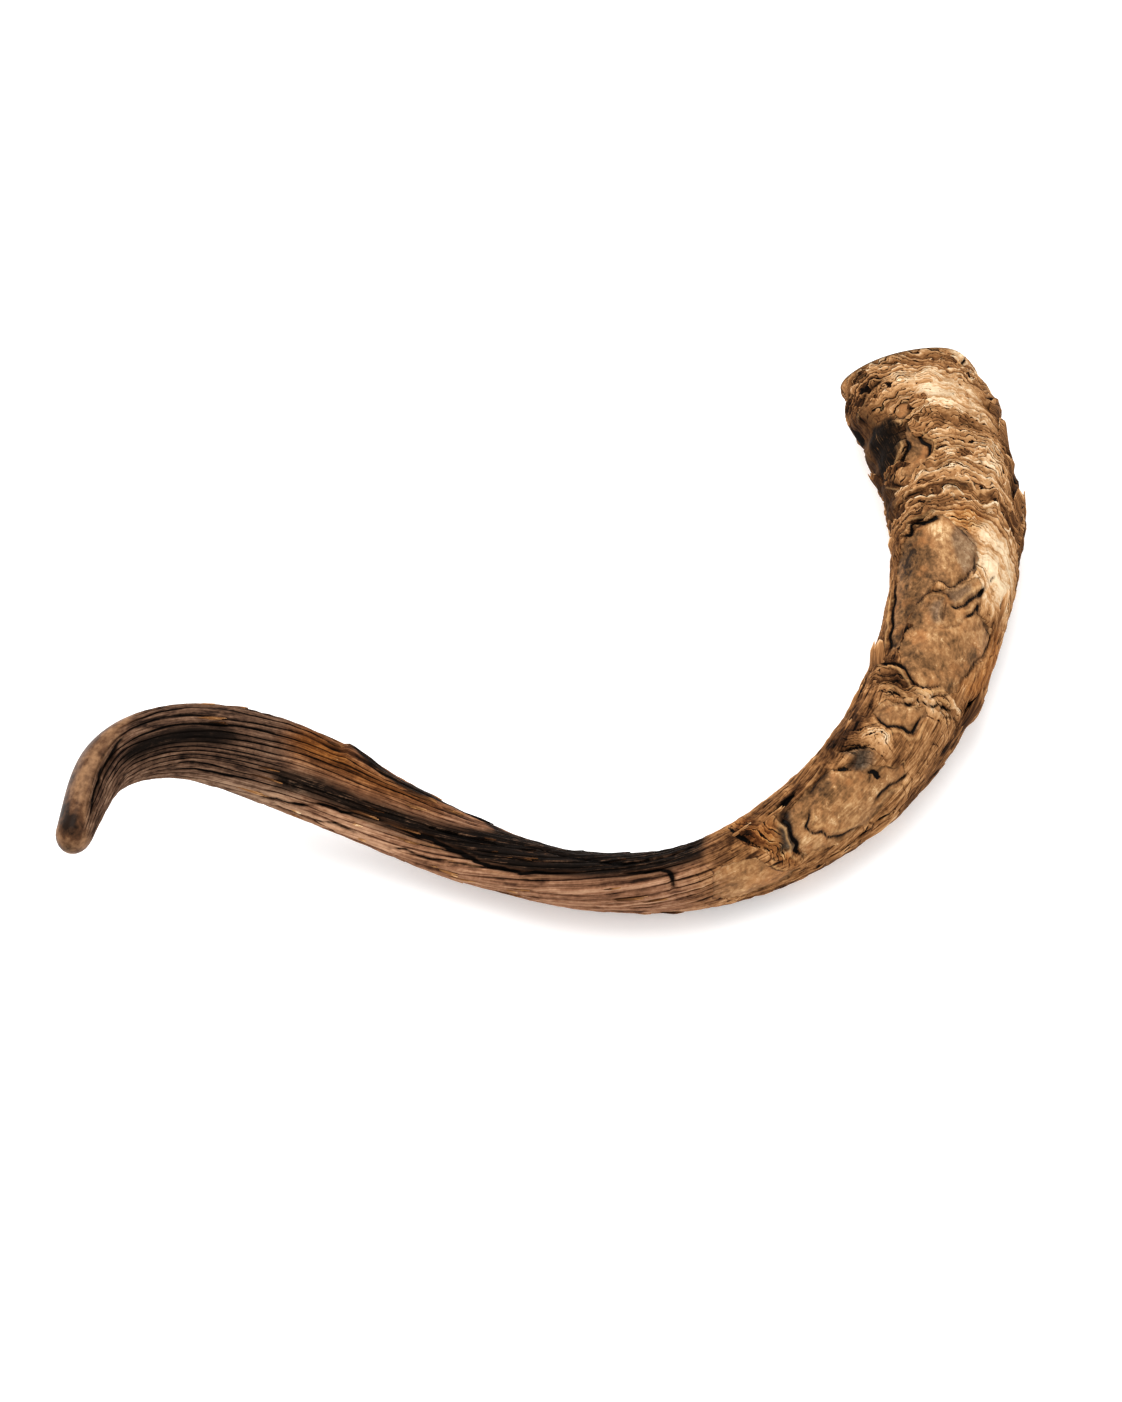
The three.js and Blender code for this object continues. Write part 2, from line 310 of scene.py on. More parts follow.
# Edges of lifted layers: height, how far the gap under the edge and its painted shadow reach, and the line,
# which has the low side on its left when the horn is seen from outside.
LEDGES = [
    (0.8, 1.2, [(1, -136), (3, -130), (5, -122), (8, -113)]),
    (1.2, 1.6, [(0, -54), (1, -43), (8, -54), (10, -47), (14, -48)]),
    (1.1, 1.8, [(60, -123), (57, -117), (53, -113), (50, -118), (46, -118), (42, -117)]),
    (1.1, 2.2, [(44, -133), (49, -137), (53, -148), (57, -160), (60, -174)]),
    (1.0, 1.8, [(34, -137), (37, -129), (36, -121), (33, -115), (29, -110)]),
    (0.9, 1.6, [(60, -174), (65, -164), (70, -158)]),
    (0.7, 1.0, [(78, -86), (75, -89), (74, -94), (72, -105), (72, -119)]),
    (0.7, 1.0, [(80, -88), (78, -88), (77, -95), (76, -106), (75, -118)]),
    (0.8, 1.2, [(86, -67), (83, -77), (81, -88), (79, -96), (80, -107), (79, -117)]),
    (0.8, 1.4, [(75, -127), (75, -136), (75, -150), (77, -164), (81, -177)]),
    (0.8, 1.4, [(80, -115), (80, -126), (81, -138), (85, -151)]),
    (0.6, 1.0, [(47, -58), (46, -72), (46, -83)]),
    (0.6, 1.0, [(66, -72), (62, -71), (60, -78), (58, -88)]),
    (0.7, 1.2, [(25, -25), (30, -27), (33, -24), (39, -29)]),
    (0.7, 1.2, [(36, -13), (39, -13), (49, -29), (52, -39)]),
    (0.6, 1.0, [(52, -35), (55, -30), (64, -45)]),
    (0.7, 1.2, [(68, -40), (69, -33), (73, -39), (79, -43)]),
    (0.8, 2.0, [(15, 165), (10, -179), (8, -163), (4, -151), (3, -137)]),
    (0.8, 2.0, [(25, -177), (20, -163), (16, -151), (14, -137), (13, -126)]),
    (0.6, 1.2, [(23, -153), (20, -143), (18, -135), (19, -126)]),
    (0.5, 1.0, [(7, -75), (9, -71), (9, -63), (7, -53)]),
    (0.8, 1.4, [(125, -132), (122, -127), (122, -121), (124, -116), (122, -107), (116, -94), (111, -87),
                (105, -87), (102, -87)]),
    (0.8, 1.4, [(135, -149), (133, -145), (130, -140), (127, -132), (126, -123), (127, -116), (130, -113)]),
    (1.0, 1.6, [(114, -73), (119, -81), (122, -89), (127, -98), (130, -105), (129, -112)]),
    (0.9, 1.2, [(120, -78), (124, -81), (129, -87), (133, -95)]),
    (0.5, 1.0, [(127, -78), (130, -87), (134, -96), (138, -102), (140, -112), (142, -122), (142, -132)]),
    (0.7, 0.9, [(129, -119), (135, -118), (140, -117)]),
    (0.5, 0.8, [(138, -137), (134, -133), (130, -128), (129, -119)]),
    (0.4, 1.2, [(159, -160), (152, -158), (146, -157), (140, -154), (135, -148)]),
    (0.8, 1.0, [(161, -76), (158, -76), (153, -69), (149, -63), (147, -64), (142, -54), (136, -48),
                (132, -47), (130, -52), (130, -69), (130, -80)]),
    (1.0, 1.2, [(165, -153), (168, -142), (171, -133), (173, -128), (172, -117), (168, -103), (165, -92),
                (163, -80)]),
    (1.1, 1.4, [(114, 175), (127, 176), (136, 178), (148, -178), (163, -170)]),
    (1.1, 2.4, [(164, 179), (167, -165), (167, -152), (168, -139)]),
    (1.0, 2.0, [(89, -119), (88, -128), (90, -142), (90, -155), (94, -160), (93, -177)]),
    (0.7, 1.0, [(127, -47), (129, -66), (128, -77), (123, -78), (119, -77), (114, -73)]),
    (0.8, 1.0, [(109, -68), (111, -72), (114, -72)]),
    (1.0, 1.4, [(190, -166), (192, -155), (194, -145), (194, -133), (191, -124), (190, -118), (190, -109),
                (188, -103), (185, -103), (180, -102), (178, -100)]),
    (0.6, 1.2, [(177, -101), (178, -114), (179, -123), (180, -129), (180, -136), (184, -146), (187, -154),
                (190, -164)]),
    (1.0, 1.2, [(165, -70), (169, -80), (172, -98), (174, -102), (175, -111), (176, -120), (179, -128),
                (178, -133), (177, -139), (177, -147), (180, -154), (184, -159)]),
    (0.9, 1.1, [(162, -84), (165, -90), (168, -101), (173, -111), (174, -120), (173, -129)]),
    (0.8, 1.1, [(168, -65), (170, -78), (171, -89), (174, -95)]),
    (0.6, 0.9, [(217, -176), (214, -174), (212, -161), (212, -150), (214, -147), (216, -151)]),
    (0.6, 0.9, [(217, -147), (216, -140), (214, -132), (214, -124)]),
    (0.9, 1.1, [(223, -74), (225, -83), (230, -89), (234, -94), (237, -104), (239, -117), (242, -124),
                (243, -132), (241, -138), (239, -147), (236, -149)]),
    (1.1, 2.4, [(251, -176), (252, -161), (251, -149), (252, -136), (251, -123), (253, -120), (252, -109),
                (247, -89)]),
    (0.9, 1.6, [(218, -89), (212, -90), (207, -86), (202, -81), (198, -81)]),
    (0.7, 3.0, [(221, -176), (225, -175), (232, -172), (237, -168)]),
    (0.6, 0.8, [(203, -167), (201, -159), (198, -150), (195, -135)]),
    (0.7, 1.0, [(174, -95), (175, -83), (171, -64), (172, -56), (175, -57)]),
    (1.2, 2.2, [(411, 124), (402, 125), (391, 130), (381, 138), (369, 155), (359, 164), (349, 170),
                (343, 168), (334, 165), (324, 168)]),
    (1.0, 2.0, [(318, 177), (309, -179), (301, -177), (298, -170), (297, -150), (296, -131)]),
    (0.9, 1.2, [(407, 168), (399, 161), (388, 165), (382, 162), (380, 151), (368, 158)]),
    (0.8, 3.0, [(519, 12), (526, 23), (535, 29), (543, 26), (550, 26), (559, 35), (566, 47)]),
    (0.9, 1.2, [(437, 127), (442, 128), (450, 136), (458, 138), (463, 125)]),
    (1.0, 1.4, [(441, 130), (433, 126), (423, 125), (418, 120), (405, 120)]),
    (0.8, 1.2, [(459, 147), (449, 163), (439, 165), (425, 154), (414, 160)]),
]
LEDGE_TURN = 1.0
LIP = 2.2
GAP_FLOOR = 0.9
LEDGE_ENDS = 6

# The lines wander a little. A layer rises to its edge within the lip, and past the line lies the gap
# under it, which has a narrow floor and fades out. Both die away at the ends of the line.
# Each wobble has its size, its pace along the horn and its waves round it.
WOBBLES = [(0.3, 0.45, 5), (0.2, 0.8, -9)]
wobble = sum(size * np.sin(pace * along + waves * angle) for size, pace, waves in WOBBLES)
ledge = np.zeros(len(along))
for height, reach, line in LEDGES:
    distance, passed, left, _ = distance_to(line)
    low = np.where(left > 0, distance, -distance) + wobble
    turn = np.clip(abs(low) / LEDGE_TURN, 0, 1)
    gap, lip = np.clip(1 + (GAP_FLOOR - low) / reach, 0, 1), np.clip(1 + low / LIP, 0, 1)
    ends = np.clip(LEDGE_ENDS * np.minimum(passed, 1 - passed), 0, 1)
    ledge += height * turn * np.where(low > 0, -gap, lip) * ends
note("ledge", ledge)

# Cracks: half the width in the middle, then the line. They narrow to a share of it at their ends.
CRACK_ENDS = 0.2
CRACKS = [
    (0.35, [(18, -69), (23, -65), (28, -62), (34, -59), (39, -58), (43, -57)]),
    (0.6, [(204, -141), (207, -147), (210, -160), (214, -174)]),
    (0.7, [(216, -144), (218, -152), (221, -162)]),
    (0.9, [(212, -125), (210, -119), (210, -110), (209, -106)]),
    (0.6, [(254, -70), (247, -70), (241, -70), (234, -66), (229, -64), (224, -67), (221, -73)]),
    (0.6, [(220, -67), (216, -65), (211, -61)]),
    (1.1, [(240, 178), (246, -180), (253, 179), (258, 179)]),
    (0.8, [(269, 130), (269, 172), (266, -167), (263, -148)]),
    (0.8, [(361, 96), (348, 101), (336, 118), (325, 133), (314, 151), (305, 151), (295, 152), (285, 147)]),
    (0.7, [(394, 103), (384, 105), (371, 107), (360, 109)]),
    (1.1, [(167, -55), (163, -54), (157, -44), (150, -34)]),
]
crack = np.full(len(along), FAR)
for half_width, line in CRACKS:
    distance, passed, _, _ = distance_to(line)
    opening = CRACK_ENDS + (1 - CRACK_ENDS) * np.sin(np.pi * passed)
    crack = np.minimum(crack, distance - half_width * opening)
note("crack", crack)


def zone(softness, *outlines):
    """1 well inside some outlines and 0 outside them, soft at their edges."""
    return smooth(depth_in(*outlines), -softness, softness)


# Black places: the upper side of the arm, a streak before the tip, the pit on the inside of the bend near
# the base, where the black is painted shade, and small ones. Less black are the strands in that pit, also
# painted shade, a place on the hidden side and the edge of the keel.
charred_and_shaded_note = zone(
    4.0,
    [(276, 110), (291, 80), (307, 60), (323, 45), (341, 35), (357, 50), (372, 80), (393, 90), (414, 88),
     (440, 84), (462, 92), (455, 118), (434, 118), (411, 126), (386, 135), (368, 152), (350, 166),
     (322, 179), (298, -174), (284, -177)],
    [(533, 64), (525, 49), (504, 44), (480, 46), (475, 63), (487, 76), (505, 78), (518, 79)],
    [(29, -166), (31, -152), (30, -136), (36, -131), (45, -133), (50, -140), (57, -156), (61, -174),
     (53, 179), (41, -179)],
    [(210, -150), (206, -140), (212, -128), (218, -150)],
    [(250, -176), (246, -168), (252, -120), (258, -130)],
    [(118, 24), (122, 40), (136, 20), (128, 6)],
)
inner_strands = zone(6.0, [(18, -160), (30, -144), (58, -152), (82, -166), (88, 165), (30, 150), (16, 170)])
hidden_char = zone(12.0, [(252, 120), (262, 76), (284, 64), (304, 90), (284, 128)])
keel_edge = zone(
    1.5,
    [(440, -12), (424, 4), (411, 16), (394, 3), (383, 6), (371, 38), (364, 60), (355, 75), (355, 93),
     (364, 86), (371, 68), (376, 46), (383, 36), (394, 35), (402, 47), (411, 47), (417, 39), (424, 34),
     (436, 12)],
)
for share_charred_and_shaded, patch in ((0.52, inner_strands), (0.6, hidden_char), (0.95, keel_edge)):
    charred_and_shaded_note = np.maximum(charred_and_shaded_note, share_charred_and_shaded * patch)
note("charred_and_shaded", charred_and_shaded_note)

# The amber stretch of the keel, halfway along the arm.
note("amber", zone(
    6.0,
    [(459, 45), (454, 11), (446, 2), (438, 7), (431, 28), (420, 32), (399, 41), (390, 53), (392, 73),
     (416, 83), (442, 77), (453, 70)],
))

# Pale places, worn to cream, and then fainter ones.
pale_note = zone(
    5.0,
    [(10, -92), (12, -80), (19, -64), (27, -52), (35, -45), (40, -68), (35, -84), (31, -99), (20, -106)],
    [(94, -86), (90, -56), (90, -28), (103, -30), (117, -42), (126, -53), (126, -72), (119, -81),
     (111, -86), (102, -87)],
    [(240, -104), (244, -130), (250, -124), (248, -104)],
    [(89, -139), (88, -126), (92, -117), (98, -116), (101, -123), (97, -135), (93, -141)],
    [(459, 115), (453, 110), (444, 113), (442, 122), (446, 132), (454, 135)],
    [(519, 0), (526, 14), (535, 20), (543, 18), (550, 18), (559, 26), (566, 40), (563, 16), (552, 4),
     (540, 4), (528, 0)],
    [(570, -170), (570, 60), (574, 60), (574, -170)],
    [(491, 165), (480, 140), (465, 146), (449, 163), (434, 167), (415, 173), (400, -175), (401, 157),
     (418, 138), (436, 137), (450, 140), (466, 130), (481, 124), (493, 145)],
)
FAINTLY_PALE = 0.45
pale_note = np.maximum(pale_note, FAINTLY_PALE * zone(
    4.0,
    [(78, -125), (74, -100), (76, -70), (86, -58), (94, -78), (89, -110), (87, -130)],
    [(130, -50), (131, -72), (150, -66), (161, -78), (164, -62), (146, -38)],
    [(249, -150), (246, -104), (232, -92), (216, -84), (208, -100), (214, -134), (226, -156)],
))
note("pale", pale_note)

# Grey films on the bare patches and under some ledges.
note("ashen", zone(
    1.5,
    [(94, -110), (95, -101), (99, -89), (107, -87), (113, -93), (115, -101), (111, -106), (106, -111),
     (100, -114)],
    [(125, -117), (123, -109), (118, -93), (122, -89), (126, -98), (130, -106)],
    [(134, -133), (131, -127), (129, -119), (140, -117), (141, -125)],
    [(213, -168), (207, -146), (206, -133), (208, -126), (211, -128), (215, -139), (212, -150)],
    [(252, -155), (252, -137), (251, -122), (253, -121), (255, -133), (254, -144)],
    [(2, -137), (4, -129), (7, -116), (9, -114), (6, -124), (4, -134)],
))

# Orange stains. The last lies where the layers end and the fibres of the arm begin.
LAYERS_END = [(268, 129), (262, 138), (260, 180), (254, -170), (255, -144), (254, -121), (252, -93),
              (257, -109), (262, -138), (267, -168)]
note("orange", zone(
    3.0,
    [(89, -118), (84, -99), (88, -80), (97, -96), (94, -110)],
    [(128, -49), (124, -14), (134, -16), (146, -29), (158, -51), (162, -69), (159, -76), (151, -62),
     (140, -49)],
    LAYERS_END,
))

# Places darkened by dirt and by painted shade, on the sides, in the pit and on the arm: outlines, the
# strands in the pit, and strips that run along the horn, each with its strength, middle angle and half
# width in radians, where it comes in and where it ends.
dirt_and_painted_shade_note = zone(
    5.0,
    [(557, -59), (562, -6), (564, 26), (569, 24), (570, -15), (564, -52)],
    [(1, -177), (2, -142), (10, -127), (20, -145), (30, -167), (25, 178), (11, 166)],
    [(39, -132), (40, -119), (46, -117), (53, -114), (58, -118), (62, -130), (63, -146), (56, -146)],
    [(99, -169), (97, -150), (110, -130), (126, -140), (150, -158), (158, -170), (130, 178)],
    [(160, 180), (164, -150), (175, -130), (176, -170)],
    [(519, 19), (508, 8), (497, 4), (480, 8), (460, 22), (455, 60), (455, 100), (475, 110), (498, 95),
     (513, 90), (530, 85), (550, 70), (562, 48), (547, 28), (535, 33), (525, 25)],
)
# The strips are painted shade down both sides of the thick half and on one side of the base.
PAINTED_SHADE_STRIPS = [
    (0.9, math.radians(178), 0.42, (120, 170), (270, 295)),
    (0.7, -0.8, 0.4, (120, 170), (270, 295)),
    (0.7, math.radians(-22), 0.3, (16, 30), (84, 100)),
]
for strength, middle, spread, start, end in PAINTED_SHADE_STRIPS:
    strip = strength * hump(turn_between(angle, middle) / spread)
    dirt_and_painted_shade_note = np.maximum(dirt_and_painted_shade_note, strip * smooth(along, *start) * (1 - smooth(along, *end)))
# The strands in the pit get painted shade and dirt.
STRANDS_DIRT_AND_PAINTED_SHADE = 0.7
dirt_and_painted_shade_note = np.maximum(dirt_and_painted_shade_note, STRANDS_DIRT_AND_PAINTED_SHADE * inner_strands)
note("dirt_and_painted_shade", dirt_and_painted_shade_note)

# The sound stretch of the arm, where the furrows are shallow.
note("sound", zone(
    4.0,
    [(409, 165), (399, 163), (384, 168), (368, 165), (349, 175), (334, 174), (322, 178), (309, -172),
     (301, -166), (297, -128), (285, -90), (280, -50), (314, -40), (348, -70), (367, -100), (387, -130),
     (407, -164)],
))

# Where the layers fray into strands along the horn: in the pit, and from the end of the base on, last
# at one angle near the upper side. Crumpled places have hardly any.
STRANDS_START = (92, 112)
STRANDS_LEAN = 20
STRANDS_LAST = -1.0
PIT_STRANDS = 0.85
CRUMPLED = 0.9
strands = smooth(along - STRANDS_LEAN * np.cos(angle - STRANDS_LAST), *STRANDS_START)
strands = np.maximum(PIT_STRANDS * inner_strands, strands)
note("lengthwise", strands * (1 - CRUMPLED * zone(
    3.0,
    [(160, 178), (166, -150), (170, -110), (162, -66), (172, -58), (178, -100), (181, -150), (176, 178)],
    LAYERS_END,
    [(194, -165), (194, -120), (204, -120), (212, -150), (210, -172)],
)))

# The fibres of the arm, and the tip that is rubbed smooth.
FIBRES_START = (270, 300)
fibrous_note = smooth(along, *FIBRES_START)
note("fibrous", fibrous_note)
TIP_POLISH = (562, 570)
note("polished", np.maximum(smooth(along, *TIP_POLISH), zone(
    2.0,
    [(513, 5), (519, 11), (526, 22), (536, 28), (544, 25), (550, 25), (559, 33), (570, 48), (574, 48),
     (574, -172), (560, -170), (545, -150), (530, -120), (520, -80), (513, -40)],
)))

# The place within the wall, the sawn rim, and the outside, which fades in from the rim and out at the
# very tip.
note("wall", share)
note("rim", (part == RIM) * 1.0)
note("outside", (part == OUTSIDE) * smooth(along, 0, 1.5) * smooth(share, 0.0, 0.5))

FURROWS = 34


class Field:
    """A value that changes over a piece: one output of a node tree. Sums and products add Math nodes."""

    def __init__(self, tree, socket=None):
        self.tree = tree
        self.socket = socket

    def node(self, kind, settings, inputs, output=0):
        """Adds a node: its settings first, then the values or links of its sockets."""
        node = self.tree.nodes.new(kind)
        for name, value in settings.items():
            setattr(node, name, value)
        for name, value in inputs.items():
            if isinstance(value, Field):
                self.tree.links.new(value.socket, node.inputs[name])
            else:
                node.inputs[name].default_value = value
        return Field(self.tree, node.outputs[output])

    def feed(self, shader, name):
        """Links this value to an input of a shader."""
        self.tree.links.new(self.socket, shader.inputs[name])

    def math(self, operation, *values):
        return self.node("ShaderNodeMath", {"operation": operation}, dict(enumerate(values)))

    def __add__(self, other):
        return self.math("ADD", self, other)

    def __sub__(self, other):
        return self.math("SUBTRACT", self, other)

    def __rsub__(self, other):
        return self.math("SUBTRACT", other, self)

    def __mul__(self, other):
        return self.math("MULTIPLY", self, other)

    def __truediv__(self, other):
        return self.math("DIVIDE", self, other)

    def __abs__(self):
        return self.math("ABSOLUTE", self)

    __radd__ = __add__
    __rmul__ = __mul__

    def step(self, low, high):
        """0 at low, 1 at high and smooth between; low may be above high."""
        ends = {"Value": self, "From Min": low, "From Max": high}
        return self.node("ShaderNodeMapRange", {"interpolation_type": "SMOOTHSTEP"}, ends)

    def linear(self, low, high):
        """0 at low, 1 at high and straight between."""
        return self.node("ShaderNodeMapRange", {}, {"Value": self, "From Min": low, "From Max": high})

    def band(self, start, full, end):
        """A soft band that starts, is full and ends at three values."""
        return self.step(start, full) * self.step(end, full)

    def mix(self, low, high):
        """A colour from low to high as this value goes from 0 to 1."""
        colours = {0: self, 6: low, 7: high}
        return self.node("ShaderNodeMix", {"data_type": "RGBA"}, colours, output=2)

    def ramp(self, *stops):
        """A colour that goes through stops, each a value and a colour."""
        colour = stops[0][1]
        for (low, _), (high, there) in zip(stops, stops[1:]):
            colour = self.linear(low, high).mix(colour, there)
        return colour

    def parts(self):
        """The three numbers of a vector."""
        return [self.node("ShaderNodeSeparateXYZ", {}, {0: self}, output=axis) for axis in range(3)]

    def read(self, name, kind="FLOAT"):
        """A noted value, in the relief's tree or in a material's."""
        if self.tree.bl_idname == "GeometryNodeTree":
            return self.node("GeometryNodeInputNamedAttribute", {"data_type": kind}, {"Name": name})
        output = "Vector" if kind == "FLOAT_VECTOR" else "Fac"
        return self.node("ShaderNodeAttribute", {"attribute_name": name}, {}, output)

    def cells(self, length, width, shift):
        """Straight-horn coordinates counted in cells of a length along and a width across."""
        scale = (1 / length, 1 / width, 1 / width)
        inputs = {0: self, 1: scale, 2: (shift, shift, shift)}
        return self.node("ShaderNodeVectorMath", {"operation": "MULTIPLY_ADD"}, inputs)

    def noise(self, length, width, detail=2.0, roughness=0.5, distortion=0.0, shift=0.0):
        """Cloudy variation from about -1 to 1."""
        inputs = {"Vector": self.cells(length, width, shift), "Scale": 1.0, "Detail": detail,
                  "Roughness": roughness, "Distortion": distortion}
        return (self.node("ShaderNodeTexNoise", {}, inputs) - 0.5) * 2.6

    def by_number(self):
        """A random number from 0 to 1 for each whole number that this value passes."""
        whole = {"W": self.math("FLOOR", self)}
        return self.node("ShaderNodeTexWhiteNoise", {"noise_dimensions": "1D"}, whole)

    def furrows(self, width):
        """Furrows along the horn: a number from 0 to 1 for each strand between two of them, and how
        deep a place is in one of a width given in strands."""
        _, keelwards, across = self.parts()
        turned = self.math("ARCTAN2", across, keelwards) * (FURROWS / (2 * math.pi))
        turned = turned + 0.9 * self.noise(60.0, 7.0, 2.0, shift=9.0)
        depth = self.math("PINGPONG", turned, 0.5).step(width, 0.03)
        return turned.by_number(), depth * self.noise(30.0, 4.0, 2.0, shift=10.0).step(-0.9, 0.3)

    def lamellae(self, thickness, shift):
        """Worn edges of stacked layers, from a distance along the horn: a number from 0 to 1 for each
        layer, and its rise from its foot to its free edge, which looks towards the base."""
        depth = self / thickness + shift
        return depth.by_number(), 1 - self.math("FRACT", depth)


# The layers round a bare patch: how far back each is torn, how ragged its edge is, the size of
# the rags, and its thickness.
LAYERS = [(0.0, 0.9, 5.0, 0.8), (3.0, 3.5, 9.0, 0.5)]
COVER = sum(thickness for _, _, _, thickness in LAYERS)


def folds_of(ground):
    """Broad, middling and small unevenness of the layers."""
    return [ground.noise(24.0, 15.0, 2.0, shift=1.0), ground.noise(9.0, 9.0, 2.0, 0.6, shift=2.0),
            ground.noise(4.5, 5.0, 2.0, 0.6, shift=3.0)]


def growth_depth(ground, broad, middling, small):
    """Distance along the horn, bent as its growth layers are: they lean off the upper side and wander."""
    along, keelwards, across = ground.parts()
    return along - 0.24 * keelwards - 0.6 * across + 7.0 * broad + 2.8 * middling + 0.7 * small


COARSE_LAYER, FINE_LAYER = 4.8, 1.4

relief = bpy.data.node_groups.new("torn_layers_and_furrows", "GeometryNodeTree")
relief.interface.new_socket("Geometry", in_out="INPUT", socket_type="NodeSocketGeometry")
relief.interface.new_socket("Geometry", in_out="OUTPUT", socket_type="NodeSocketGeometry")
tree = Field(relief)
ground = tree.read("straight", "FLOAT_VECTOR")
bare = tree.read("bare")
edges = [bare + back + ragged * ground.noise(rag, rag, 2.0, shift=3.7 * number)
         for number, (back, ragged, rag, _) in enumerate(LAYERS)]
broad, middling, small = folds_of(ground)
cover = sum(thickness * edge.step(0.35, -0.35) for edge, (_, _, _, thickness) in zip(edges, LAYERS))
covered = cover / COVER
_, layer_rise = growth_depth(ground, broad, middling, small).lamellae(COARSE_LAYER, 0.0)
lengthwise = tree.read("lengthwise")
crossed = 0.9 * (layer_rise - 0.5)
_, furrow = ground.furrows(0.2)
bark = crossed * (1 - lengthwise) - 0.4 * furrow * lengthwise + 0.6 * middling + 0.35 * small
layered = cover - 1.0 + covered * bark + (1 - covered) * (0.6 * broad + 0.25 * middling)
furrowed = 0.3 * ground.noise(60.0, 2.0, 2.0) - 0.8 * furrow + 0.4 * small
fibrous_part = tree.read("fibrous")
height = layered * (1 - fibrous_part) + furrowed * fibrous_part * (1 - tree.read("polished"))
height = height + 0.9 * tree.read("ledge") - 1.0 * tree.read("crack").step(0.7, -0.3)
height = height * tree.read("outside") * MM
normal = tree.node("GeometryNodeInputNormal", {}, {})
offset = tree.node("ShaderNodeVectorMath", {"operation": "SCALE"}, {0: normal, "Scale": height})
surface = Field(relief, relief.nodes.new("NodeGroupInput").outputs[0])
kept = {
    "torn_edges": tree.node("ShaderNodeCombineXYZ", {}, dict(enumerate(edges))),
    "folds": tree.node("ShaderNodeCombineXYZ", {}, dict(enumerate((broad, middling, small)))),
}
for name, vector in kept.items():
    surface = tree.node("GeometryNodeStoreNamedAttribute", {"data_type": "FLOAT_VECTOR"},
                        {"Geometry": surface, "Name": name, "Value": vector})
surface = tree.node("GeometryNodeSetPosition", {}, {"Geometry": surface, "Offset": offset})
relief.links.new(surface.socket, relief.nodes.new("NodeGroupOutput").inputs[0])


def face_outwards():
    """Turns the faces of the active piece outwards."""
    bpy.ops.object.mode_set(mode="EDIT")
    bpy.ops.mesh.select_all(action="SELECT")
    bpy.ops.mesh.normals_make_consistent(inside=False)
    bpy.ops.object.mode_set(mode="OBJECT")


# The sheet is sewn up along its seam, at the end of the hollow and at the tip before the relief is cut.
SEAM = 1e-6
bpy.ops.object.mode_set(mode="EDIT")
bpy.ops.mesh.select_all(action="SELECT")
bpy.ops.mesh.remove_doubles(threshold=SEAM)
bpy.ops.object.mode_set(mode="OBJECT")
face_outwards()
bpy.ops.object.shade_smooth()
horn.modifiers.new("relief", "NODES").node_group = relief
bpy.ops.object.modifier_apply(modifier="relief")


def ink(red, green, blue):
    """A colour from screen values of 0 to 255."""
    channels = [(value / 255 + 0.055) / 1.055 for value in (red, green, blue)]
    return (*[channel ** 2.4 for channel in channels], 1.0)


def new_material(name):
    """A material with one shader, its node tree as a field, and the shader."""
    material = bpy.data.materials.new(name)
    material.use_nodes = True
    return material, Field(material.node_tree), material.node_tree.nodes["Principled BSDF"]


keratin, tree, shader = new_material("weathered_keratin")
ground = tree.read("straight", "FLOAT_VECTOR")
broad, middling, small = tree.read("folds", "FLOAT_VECTOR").parts()
fine = ground.noise(1.5, 1.2, 3.0, 0.6, shift=4.0)
rag = ground.noise(3.0, 2.4, 3.0, 0.6, shift=6.0)
edges = tree.read("torn_edges", "FLOAT_VECTOR").parts()
charred_and_shaded, amber, pale = tree.read("charred_and_shaded"), tree.read("amber"), tree.read("pale")
# The dirt-and-shade note darkens the tones below by dirt and by painted shade on the sides, in the pit and
# on the arm.
orange, dirt_and_painted_shade = tree.read("orange"), tree.read("dirt_and_painted_shade")
fibrous_part, polished = tree.read("fibrous"), tree.read("polished")

# Bark: the worn edges of crowded growth layers, thick ones and thin ones. Each layer has its own tint, is
# worn pale at its free edge and has a dark gap under it, in places, where the dark is painted shadow.
depth = growth_depth(ground, broad, middling, small)
fray = ground.noise(1.6, 4.0, 3.0, 0.65, shift=8.0)
coarse_tint, coarse_rise = (depth + 0.8 * fray).lamellae(COARSE_LAYER, 0.0)
fine_tint, fine_rise = (depth + 0.8 * small + 1.0 * fray).lamellae(FINE_LAYER, 0.3)
coarse_gap_and_shadow = coarse_rise.step(0.2, 0.06) * (0.8 * small + rag - 0.6 * pale).step(-0.35, 0.2)
fine_gap_and_shadow = fine_rise.step(0.28, 0.1) * (middling + rag - 0.6 * pale).step(-0.2, 0.3)
bark_height = 0.9 * coarse_rise + 0.4 * fine_rise + 0.16 * fine + 0.16 * fray
bark_height = bark_height - 0.3 * coarse_gap_and_shadow - 0.2 * fine_gap_and_shadow
tone = 0.52 + 0.32 * (coarse_tint - 0.5) + 0.34 * (fine_tint - 0.5)
tone = tone + 0.36 * broad + 0.16 * rag + 0.12 * fine
tone = tone + 0.14 * coarse_rise.step(0.7, 1.0) + 0.12 * fine_rise.step(0.6, 1.0) + 0.2 * fray
tone = tone + 0.2 * pale - 0.42 * dirt_and_painted_shade
crowded = (broad + 0.5 * middling).step(-0.5, 0.4) * (1 - 0.6 * pale)
tone = tone + 0.07 - 0.95 * coarse_gap_and_shadow - 0.68 * fine_gap_and_shadow * (0.3 + 0.7 * crowded)

